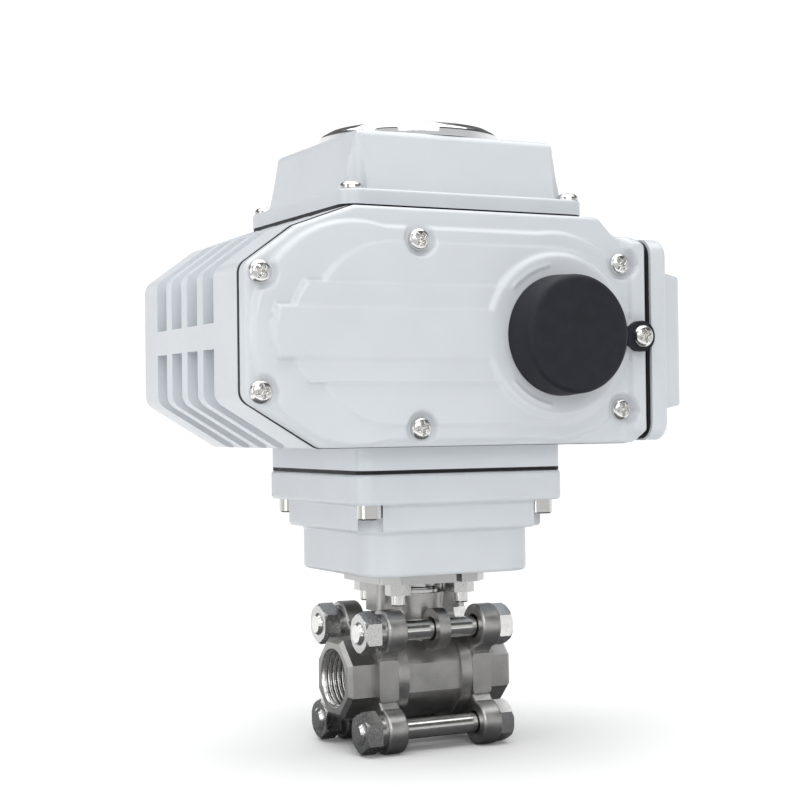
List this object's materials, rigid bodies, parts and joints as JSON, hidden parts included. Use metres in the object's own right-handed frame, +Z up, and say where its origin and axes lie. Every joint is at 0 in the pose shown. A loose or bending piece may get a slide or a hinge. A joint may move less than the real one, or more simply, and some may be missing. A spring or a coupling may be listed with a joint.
{
  "type": "motorized valve actuator",
  "caption": "Quarter-turn electric actuator in a white finned housing on a stainless three-piece threaded ball valve, with worm drive, position indicator and capped manual hexagon.",
  "frame": {"origin": "centre of the valve's ball, where the pipe's axis crosses the stem's axis", "axes": "+Z up along the stem and output shaft, +X along the pipe towards the terminal cover, -Y towards the gear cover (front)"},
  "size_m": [0.1735, 0.1339, 0.221],
  "materials": {
    "cast_stainless": "bead-blasted casting",
    "polished_stainless": "polished",
    "nut_stainless": "machined",
    "spring_steel": "satin",
    "ptfe": "satin",
    "grey_anodised": "satin",
    "white_powder_coat": "white powder coat on die-cast aluminium",
    "black_gasket": "matte",
    "zinc_screw": "bright zinc",
    "cap_rubber": "matte moulded",
    "sight_glass": "clear",
    "chrome_bezel": "polished",
    "gear_steel": "machined, lightly oiled",
    "bronze": "machined bronze",
    "plate_aluminium": "mill finish",
    "motor_can": "satin",
    "cam_nylon": "satin",
    "switch_housing": "satin",
    "circuit_board": "satin solder mask",
    "indicator_yellow": "satin",
    "dial_white": "satin",
    "gland_nylon": "satin"
  },
  "bodies": {
    "housing": {"valve_body": "cast_stainless", "end_cap_left": "cast_stainless", "end_cap_right": "cast_stainless", "seat_rings": "ptfe", "body_seals": "ptfe", "stem_thrust_washer": "ptfe", "stem_packing": "ptfe", "gland_follower": "nut_stainless", "disc_springs": "spring_steel", "gland_nut": "nut_stainless", "body_bolts": "polished_stainless", "body_nuts": "nut_stainless", "spring_washers": "spring_steel", "adapter_plate": "grey_anodised", "ear_screws": "polished_stainless", "adapter_studs": "polished_stainless", "adapter_nuts": "nut_stainless", "base_housing": "white_powder_coat", "base_gasket": "black_gasket", "base_bolts": "polished_stainless", "main_housing": "white_powder_coat", "front_gear_cover": "white_powder_coat", "front_cover_gasket": "black_gasket", "front_cover_screws": "zinc_screw", "top_cover_screws": "zinc_screw", "terminal_cover_screws": "zinc_screw", "cap_tab_screw": "zinc_screw", "override_cap_tab": "cap_rubber", "top_cover": "white_powder_coat", "top_cover_gasket": "black_gasket", "sight_glass_seal": "black_gasket", "sight_glass": "sight_glass", "bezel_ring": "chrome_bezel", "terminal_cover": "white_powder_coat", "terminal_cover_gasket": "black_gasket", "gear_pins": "gear_steel", "gear_plate": "plate_aluminium", "motor": "motor_can", "output_bush": "bronze", "worm_bearings": "gear_steel", "override_shaft_seal": "black_gasket", "control_plate": "plate_aluminium", "limit_switches": "switch_housing", "circuit_board": "circuit_board", "dial_plate": "dial_white", "terminal_block": "switch_housing", "cable_glands": "gland_nylon", "gland_plugs": "gland_nylon"},
    "output_train": {"output_shaft": "gear_steel", "worm_wheel": "bronze", "switch_cams": "cam_nylon", "indicator_disc": "indicator_yellow", "stem": "polished_stainless", "ball": "polished_stainless"},
    "worm": {"worm_shaft": "gear_steel", "worm_gear": "gear_steel"},
    "cluster_b": {"cluster_gear_b": "gear_steel"},
    "cluster_a": {"cluster_gear_a": "gear_steel"},
    "rotor": {"motor_pinion": "gear_steel"},
    "dust_cap": {"override_cap": "cap_rubber"}
  },
  "joints": [
    {"name": "output_turn", "type": "hinge", "parent": "housing", "child": "output_train", "pos_m": [0, 0, 0], "axis": [0, 0, 1], "range_deg": [0, 90]},
    {"name": "worm_spin", "type": "hinge", "parent": "housing", "child": "worm", "pos_m": [0.0296, 0, 0.1196], "axis": [0, 1, 0], "range_deg": [-3241.62, 0]},
    {"name": "cluster_b_spin", "type": "hinge", "parent": "housing", "child": "cluster_b", "pos_m": [0.0041, 0, 0.1196], "axis": [0, 1, 0], "range_deg": [0, 8567.14]},
    {"name": "cluster_a_spin", "type": "hinge", "parent": "housing", "child": "cluster_a", "pos_m": [-0.0199, 0, 0.1196], "axis": [0, 1, 0], "range_deg": [-20805.91, 0]},
    {"name": "rotor_spin", "type": "hinge", "parent": "housing", "child": "rotor", "pos_m": [-0.0459, 0, 0.1196], "axis": [0, 1, 0], "range_deg": [0, 69353.03]},
    {"name": "cap_swing", "type": "hinge", "parent": "housing", "child": "dust_cap", "pos_m": [0.0543, -0.05658, 0.1196], "axis": [0, 0, 1], "range_deg": [0, 75]}
  ],
  "couplings": [
    {"joint": "worm_spin", "follows": "output_turn", "ratio": -36},
    {"joint": "cluster_b_spin", "follows": "output_turn", "ratio": 95.143},
    {"joint": "cluster_a_spin", "follows": "output_turn", "ratio": -231.06},
    {"joint": "rotor_spin", "follows": "output_turn", "ratio": 770.2}
  ]
}
